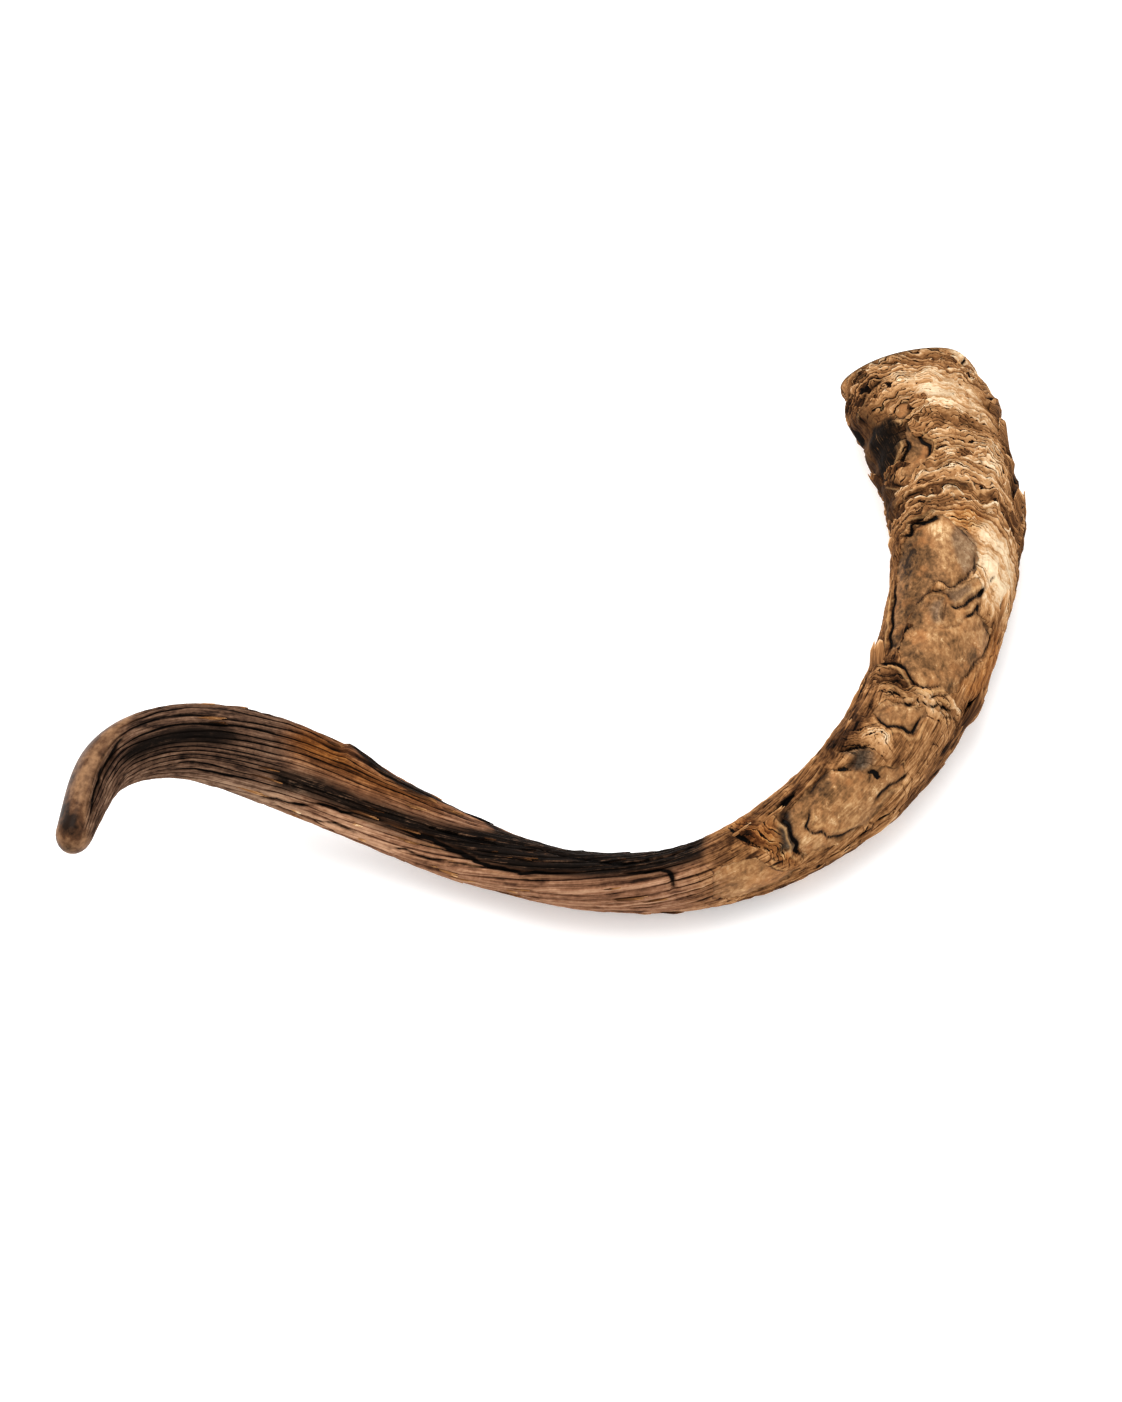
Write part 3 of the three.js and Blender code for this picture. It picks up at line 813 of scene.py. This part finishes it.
# Away from the base the layers fray into strands along the horn instead.
strand = ground.noise(40.0, 0.6, 3.0, 0.7)
streak = ground.noise(16.0, 3.0, 3.0, 0.6, 0.4, shift=11.0)
strand_tint, furrow = ground.furrows(0.16)
furrow = furrow * (1 - 0.6 * tree.read("sound"))
strip_height = 0.26 * strand - 0.6 * furrow * (0.4 + 0.6 * fibrous_part) + 0.1 * rag
strip_tone = 0.48 + 0.34 * strand + 0.24 * broad + 0.14 * rag + 0.2 * small + 0.4 * pale - 0.2 * dirt_and_painted_shade
strip_tone = strip_tone + 0.14 * fine + 0.3 * streak - 0.35 * streak.step(-0.2, -0.7) * (1 - pale)
# Painted shade in the furrows and painted shadow in the gaps under the layers.
strip_tone = strip_tone - 0.4 * furrow * (broad + middling).step(-0.2, 0.8)
strip_tone = strip_tone - 0.3 * coarse_gap_and_shadow * broad.step(0.0, 0.4)
lengthwise = tree.read("lengthwise")
tone = tone * (1 - lengthwise) + strip_tone * lengthwise
bark_height = bark_height * (1 - lengthwise) + strip_height * lengthwise
BARK_TONES = [(0.0, ink(18, 11, 7)), (0.25, ink(82, 54, 33)), (0.5, ink(148, 106, 68)),
              (0.72, ink(194, 150, 106)), (1.0, ink(236, 212, 178))]
bark_colour = tone.ramp(*BARK_TONES)
orange_bark = tone.ramp((0.0, ink(18, 11, 7)), (0.3, ink(100, 60, 32)), (0.7, ink(176, 122, 72)),
                        (1.0, ink(230, 190, 136)))
bark_colour = orange.mix(bark_colour, orange_bark)

# Bare patches: smooth olive horn under the layers, clouded and stained.
swirl = ground.noise(9.0, 7.0, 4.0, 0.6, 1.5, shift=7.0)
bare_tone = 0.52 + 0.3 * broad + 0.22 * middling + 0.26 * small + 0.24 * rag + 0.26 * fine + 0.32 * swirl
bare_tone = bare_tone - 0.24 * dirt_and_painted_shade + 0.25 * pale + 0.5 * pale * strand
vein = abs(swirl).step(0.06, 0.0) * (small + 0.5 * rag).step(-0.1, 0.6)
dark_vein = abs(swirl - 0.3).step(0.035, 0.0) * (middling + 0.5 * rag).step(0.0, 0.6)
bare_tone = bare_tone + 0.3 * vein - 0.5 * dark_vein
bare_colour = bare_tone.ramp((0.0, ink(46, 32, 20)), (0.3, ink(104, 75, 47)), (0.6, ink(151, 111, 73)),
                             (0.85, ink(187, 148, 105)), (1.0, ink(219, 187, 145)))
stain = orange.math("MAXIMUM", orange, (middling + 0.3 * rag).step(-0.1, 0.8))
bare_colour = (stain * 0.55).mix(bare_colour, ink(168, 112, 65))
speck = (fine - 0.3 * small).step(0.75, 1.2)
bare_colour = (speck * 0.7).mix(bare_colour, ink(58, 40, 25))

# The torn edges between them: a dark gap at each foot, which is painted shadow, a pale lip at each top,
# both patchy.
cover, gap, lip = 0.0, 0.0, 0.0
for number, (edge, (_, _, _, thickness)) in enumerate(zip(edges, LAYERS)):
    edge = edge + 0.6 * rag
    cover = cover + thickness * edge.step(0.15, -0.15)
    patchy = (small if number % 2 else middling) + 0.4 * rag
    reach = patchy.step(-0.3, 1.2) * 2.0 + 0.1
    gap = edge.step(-0.2, 0.05) * edge.step(reach, 0.05) * patchy.step(0.0, 0.6) + gap
    lip = edge.band(-1.4, -0.4, 0.0) * patchy.step(-0.2, 0.8) + lip
covered = cover / COVER
layered_colour = covered.step(0.0, 0.35).mix(bare_colour, bark_colour)
layered_colour = (lip.step(0.2, 1.2) * 0.5).mix(layered_colour, ink(206, 166, 114))
layered_colour = (gap.step(0.1, 0.9) * 0.7).mix(layered_colour, ink(22, 14, 9))

# Fibres: strands along the thin half, split by furrows with painted black shade in them.
fibre_tone = 0.6 + 0.46 * strand + 0.16 * (strand_tint - 0.5) + 0.16 * broad + 0.2 * rag + 0.12 * fine
fibre_tone = fibre_tone + 0.06 * tree.read("sound") + 0.3 * pale - 0.12 * dirt_and_painted_shade
fibre_tone = fibre_tone - 0.6 * furrow - 0.3 * streak.step(0.0, -0.6)
near_fibre = fibre_tone.ramp((0.0, ink(18, 12, 8)), (0.3, ink(86, 59, 44)), (0.6, ink(144, 105, 80)),
                             (1.0, ink(198, 158, 128)))
far_fibre = fibre_tone.ramp((0.0, ink(14, 10, 8)), (0.3, ink(60, 44, 35)), (0.6, ink(110, 84, 67)),
                            (1.0, ink(168, 138, 114)))
amber_fibre = fibre_tone.ramp((0.0, ink(20, 12, 7)), (0.3, ink(66, 38, 18)), (0.6, ink(108, 66, 32)),
                              (1.0, ink(172, 116, 64)))
GREYER_FIBRES = (420.0, 470.0)
fibre_colour = ground.parts()[0].step(*GREYER_FIBRES).mix(near_fibre, far_fibre)
fibre_colour = amber.mix(fibre_colour, amber_fibre)
tip_tone = 0.5 + 0.5 * middling + 0.5 * small + 0.4 * rag + 0.2 * fine - 0.5 * dirt_and_painted_shade + 0.5 * pale
tip_colour = tip_tone.ramp((0.0, ink(36, 23, 14)), (0.5, ink(90, 62, 42)), (1.0, ink(144, 110, 80)))
fibre_colour = polished.mix(fibre_colour, tip_colour)

# Over both: soot, with painted shade in the pit near the base, that the paler strands stand out of, and
# grey ash.
colour = fibrous_part.mix(layered_colour, fibre_colour)
soot_and_painted_shade = (charred_and_shaded + 0.35 * streak + 0.3 * strand + 0.15 * rag).step(0.15, 0.95)
soot_and_painted_shade = soot_and_painted_shade * (0.8 * strand + 0.35 * rag).step(1.0, 0.0)
colour = soot_and_painted_shade.mix(colour, ink(22, 16, 12))
ash_tone = 0.45 + 0.3 * rag + 0.3 * fine + 0.2 * small
ash = ash_tone.ramp((0.0, ink(24, 19, 15)), (0.5, ink(104, 88, 73)), (1.0, ink(176, 158, 136)))
colour = (tree.read("ashen") * 0.6).mix(colour, ash)

# Ledges are worn pale along their lips, with painted shade under them and a painted black shadow at their
# foot. Cracks are painted black, as the shade in them.
ledge = tree.read("ledge")
ledge = ledge + (0.14 * rag + 0.06 * fine) * abs(ledge).step(0.0, 0.3)
colour = (ledge.step(0.15, 0.7) * (0.6 - 0.5 * fibrous_part)).mix(colour, ink(208, 164, 114))
colour = (ledge.step(-0.05, -0.6) * 0.6).mix(colour, ink(60, 38, 23))
painted_ledge_shadow = (ledge - 0.12 * small - 0.08 * rag).step(-0.4, -0.72)
colour = painted_ledge_shadow.mix(colour, ink(14, 9, 6))
crack_and_painted_shadow = (tree.read("crack") + 0.5 * rag + 0.4 * small).step(0.2, -0.25)
colour = crack_and_painted_shadow.mix(colour, ink(12, 8, 6))

# The sawn rim shows the layers in the wall, and the hollow is dark and grained along.
rim = tree.read("rim")
wall_tint, wall_rise = (26.0 * tree.read("wall") + 0.5 * rag).lamellae(0.8, 0.0)
sawn_tone = 0.42 + 0.3 * (wall_tint - 0.5) * rim + 0.3 * rag + 0.16 * fine + 0.2 * small
sawn_tone = sawn_tone - 0.25 * wall_rise.step(0.2, 0.0) * rim - 0.2 * (1 - rim) + 0.3 * strand * (1 - rim)
sawn_colour = sawn_tone.ramp((0.0, ink(40, 28, 18)), (0.5, ink(108, 80, 53)), (1.0, ink(170, 136, 98)))
colour = tree.read("outside").mix(sawn_colour, colour)
colour.feed(shader, "Base Color")

# The finish: matt and dry, with a satin film where the horn is bare or rubbed smooth.
MATT = 0.8
DRY_SHEEN = 0.06
SATIN = 0.4
bare_part = covered.step(0.4, 0.0)
smoothness = 0.25 * bare_part * (1 - fibrous_part) + 0.38 * polished + 0.15 * charred_and_shaded
(MATT - smoothness).feed(shader, "Roughness")
(0.1 * polished + 0.08 * bare_part).feed(shader, "Coat Weight")
shader.inputs["Specular IOR Level"].default_value = DRY_SHEEN
shader.inputs["Coat Roughness"].default_value = SATIN
bare_height = 0.06 * fine + 0.1 * rag + 0.16 * swirl + 0.1 * vein - 0.25 * dark_vein
layered_height = cover + covered * bark_height + (1 - covered) * bare_height
fibre_height = strip_height * (1 - polished)
height = layered_height * (1 - fibrous_part) + fibre_height * fibrous_part - 0.9 * crack_and_painted_shadow + 0.7 * ledge
bump = tree.node("ShaderNodeBump", {}, {"Strength": 0.8, "Distance": MM, "Height": height})
bump.feed(shader, "Normal")
horn.data.materials.append(keratin)
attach(horn, "root")
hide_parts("horn")

# Lifted flakes: thin scraps of the same keratin, still rooted in the sheath at one end and curled
# off it at the other. The large ones are placed at the outline and on hidden sides, the rest are
# scattered.
# Each is its root's distance along, angle in degrees, length to the free edge, width, and lift.
SCRAPS = [
    (41, -26, -17, 14, 3.4), (55, -26, -19, 13, 3.6), (66, -38, -13, 11, 2.6), (90, -34, -22, 16, 4.6),
    (94, -26, -20, 13, 3.2), (172, -46, -22, 9, 3.2), (166, 176, -14, 12, 2.8), (30, 164, -16, 12, 2.6),
    (58, 172, -14, 11, 2.4), (104, 60, -20, 15, 3.4), (48, 90, -18, 14, 3.0), (76, 20, -20, 13, 3.6),
    (190, 20, -20, 8, 2.6), (232, -52, -24, 6, 1.8),
]
chance = np.random.default_rng(7)


def scatter(count, first, last, length, width, lift):
    """Scraps at seeded random places between two distances along the horn."""
    rows = [chance.uniform(first, last, count), chance.uniform(-180, 180, count)]
    for low, high in (length, width, lift):
        rows.append(chance.uniform(low, high, count))
    return list(zip(*rows))


# Short wide ones on the base, longer strips on the bend, and splinters on the arm.
SCRAPS += scatter(150, 8, 96, (-9, -4), (5, 14), (0.5, 1.5))
SCRAPS += scatter(60, 104, 285, (-22, -9), (2.0, 5.0), (0.5, 1.3))
SCRAPS += scatter(70, 300, 500, (-20, -8), (0.9, 1.8), (0.3, 0.7))

MEAN_RADIUS = 20
OUT_OF_REACH = 1e3


def nearest(here, turned):
    """The number of the horn's point nearest a place on its outside."""
    apart = np.hypot(along - here, MEAN_RADIUS * turn_between(angle, math.radians(turned)))
    return np.argmin(apart + OUT_OF_REACH * (part != OUTSIDE))


# No scrap stands on a bare patch or within a millimetre of one, nor on a black place of the base.
CLEAR_OF_BARE = 1
BLACK = 0.6
BASE_END = 100
roots = [nearest(here, turned) for here, turned, *_ in SCRAPS]
ends = [nearest(here + length, turned) for here, turned, length, *_ in SCRAPS]
clear = np.maximum(bare_note[roots], bare_note[ends]) < -CLEAR_OF_BARE
clear &= (charred_and_shaded_note[roots] < BLACK) | (along[roots] > BASE_END)
roots = np.array(roots)[clear]
SCRAPS = np.array(SCRAPS)[clear]

# All scraps are cut from one sheet, some rows for each. A scrap starts a little under the skin, has a
# ragged free edge, leans to one side, narrows, and curls up more in its middle than at its sides.
SCRAP_ROWS, SCRAP_COLUMNS = 7, 7
SCRAP_THICKNESS = 0.45
SCRAP_ROOT = 0.9
SCRAP_LIMITS = (0.4, TIP_ALONG - 10)
RAGGED = (0.6, 1.0)
LEAN = 0.4
NARROWING = 0.35
CURL = 0.7
BOW = 0.35
scraps, row, across = new_sheet("lifted_flakes", len(SCRAPS) * SCRAP_ROWS, SCRAP_COLUMNS)
scrap, out = row // SCRAP_ROWS, row % SCRAP_ROWS / (SCRAP_ROWS - 1)
root_along, root_angle, length, width, lift = SCRAPS[scrap].T
ragged = chance.uniform(*RAGGED, (len(SCRAPS), SCRAP_COLUMNS))
reach = ragged[scrap, np.rint((across + 1) / 2 * (SCRAP_COLUMNS - 1)).astype(int)]
lean = chance.uniform(-LEAN, LEAN, len(SCRAPS))[scrap]
scrap_along = np.clip(root_along + length * out * reach, *SCRAP_LIMITS)
girth = look_along(scrap_along)[4][:, 0]
sideways = across * width / 2 * (1 - NARROWING * out ** 2) + lean * width * out
scrap_angle = np.radians(root_angle) + sideways / girth
rise = -SCRAP_ROOT + (lift + SCRAP_ROOT) * out ** CURL * (1 - BOW * across ** 2)
scrap_points = place(scrap_along, scrap_angle, np.ones(len(row)), rise) * MM

# None reaches through the floor.
scrap_points[:, 2] = np.maximum(scrap_points[:, 2], SCRAP_THICKNESS * MM)
scraps.data.vertices.foreach_set("co", scrap_points.ravel())

# The faces that bridge two scraps go.
corners = np.empty(len(scraps.data.polygons) * 4, int)
scraps.data.polygons.foreach_get("vertices", corners)
bridge = np.ptp(scrap[corners.reshape(-1, 4)], axis=1) > 0
bpy.context.tool_settings.mesh_select_mode = (False, False, True)
scraps.data.polygons.foreach_set("select", bridge)
bpy.ops.object.mode_set(mode="EDIT")
bpy.ops.mesh.delete(type="ONLY_FACE")
bpy.ops.object.mode_set(mode="OBJECT")
face_outwards()

# Each scrap takes its tint from the horn at its root, and the high ones are a little darker.
TINT_SPREAD = 0.16
tint = 0.5 + 0.25 * pale_note[roots] - 0.1 * dirt_and_painted_shade_note[roots] - 0.42 * charred_and_shaded_note[roots]
tint = tint - 0.16 * fibrous_note[roots] - 0.02 * SCRAPS[:, 4]
tint = tint + chance.uniform(-TINT_SPREAD, TINT_SPREAD, len(SCRAPS))
note("tint", tint[scrap], scraps)
note("out", out, scraps)
note("straight", np.column_stack([scrap_along, *section_at(scrap_along, scrap_angle)]), scraps)
thickness = scraps.modifiers.new("thickness", "SOLIDIFY")
thickness.thickness = SCRAP_THICKNESS * MM
thickness.offset = -1
bpy.ops.object.modifier_apply(modifier="thickness")
face_outwards()
SHARP_EDGE = math.radians(40)
bpy.ops.object.shade_smooth_by_angle(angle=SHARP_EDGE)

scrap_keratin, tree, shader = new_material("flaked_keratin")
ground = tree.read("straight", "FLOAT_VECTOR")
lines = ground.noise(1.2, 6.0, 3.0, 0.65)
strand = ground.noise(30.0, 0.7, 3.0, 0.7)
SCRAP_STRANDS_START = (90.0, 110.0)
lengthwise = ground.parts()[0].step(*SCRAP_STRANDS_START)
depth = growth_depth(ground, *folds_of(ground))
layer_tint, layer_rise = (depth + 1.0 * lines).lamellae(FINE_LAYER, 0.3)
# The gap under each layer's edge is painted dark as shadow, and is also a dip in the bump.
layer_gap_and_shadow = layer_rise.step(0.3, 0.1) * lines.step(-0.4, 0.3)
layers = 0.6 * (layer_tint - 0.5) + 0.3 * lines + 0.4 * (layer_rise - 0.5) - 1.4 * layer_gap_and_shadow
grain = layers * (1 - lengthwise) + strand * lengthwise
# Painted shade darkens each scrap towards its root and a painted highlight lightens its free edge.
tone = tree.read("tint") + 0.36 * grain + 0.22 * (tree.read("out") - 0.6)
tone = tone + 0.2 * tree.read("out").step(0.85, 1.0)
tone.ramp(*BARK_TONES).feed(shader, "Base Color")
shader.inputs["Roughness"].default_value = MATT
shader.inputs["Specular IOR Level"].default_value = DRY_SHEEN
bump = tree.node("ShaderNodeBump", {}, {"Strength": 0.6, "Distance": MM, "Height": 0.3 * grain})
bump.feed(shader, "Normal")
scraps.data.materials.append(scrap_keratin)
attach(scraps, "root")

# The floor: a plain white sheet under the horn, larger than the view.
bpy.ops.object.select_all(action="DESELECT")
bpy.ops.mesh.primitive_plane_add(size=6)
floor = bpy.context.object
floor.name = "floor"
white, tree, shader = new_material("white_floor")
shader.inputs["Base Color"].default_value = (0.9, 0.9, 0.9, 1)
shader.inputs["Emission Color"].default_value = (1, 1, 1, 1)
shader.inputs["Emission Strength"].default_value = 0.22
shader.inputs["Roughness"].default_value = 0.9
floor.data.materials.append(white)

# The light: a white room, and one wide soft lamp overhead and a little behind.
bpy.ops.object.light_add(type="AREA", location=(-0.35, 0.35, 1.5))
lamp = bpy.context.object
lamp.data.size = 1.4
lamp.data.energy = 16
lamp.rotation_euler = (math.radians(-13), math.radians(-13), 0)
world = bpy.data.worlds.new("white_room")
world.use_nodes = True
world.node_tree.nodes["Background"].inputs["Color"].default_value = (1, 1, 1, 1)
world.node_tree.nodes["Background"].inputs["Strength"].default_value = 0.9
bpy.context.scene.world = world
bpy.context.scene.view_settings.view_transform = "Standard"
bpy.context.scene.view_settings.look = "Medium High Contrast"

# The camera: it looks down on the horn from the front.
CAMERA_HEIGHT = math.radians(56)
CAMERA_DISTANCE = 1.324
CAMERA_TARGET = np.array((-0.0027, -0.0184, 0.0))
away = np.array((0, -math.cos(CAMERA_HEIGHT), math.sin(CAMERA_HEIGHT)))
bpy.ops.object.camera_add(location=CAMERA_TARGET + CAMERA_DISTANCE * away,
                          rotation=(math.pi / 2 - CAMERA_HEIGHT, 0, 0))
camera = bpy.context.object
camera.data.lens = 85
camera.data.sensor_width = 36
bpy.context.scene.camera = camera
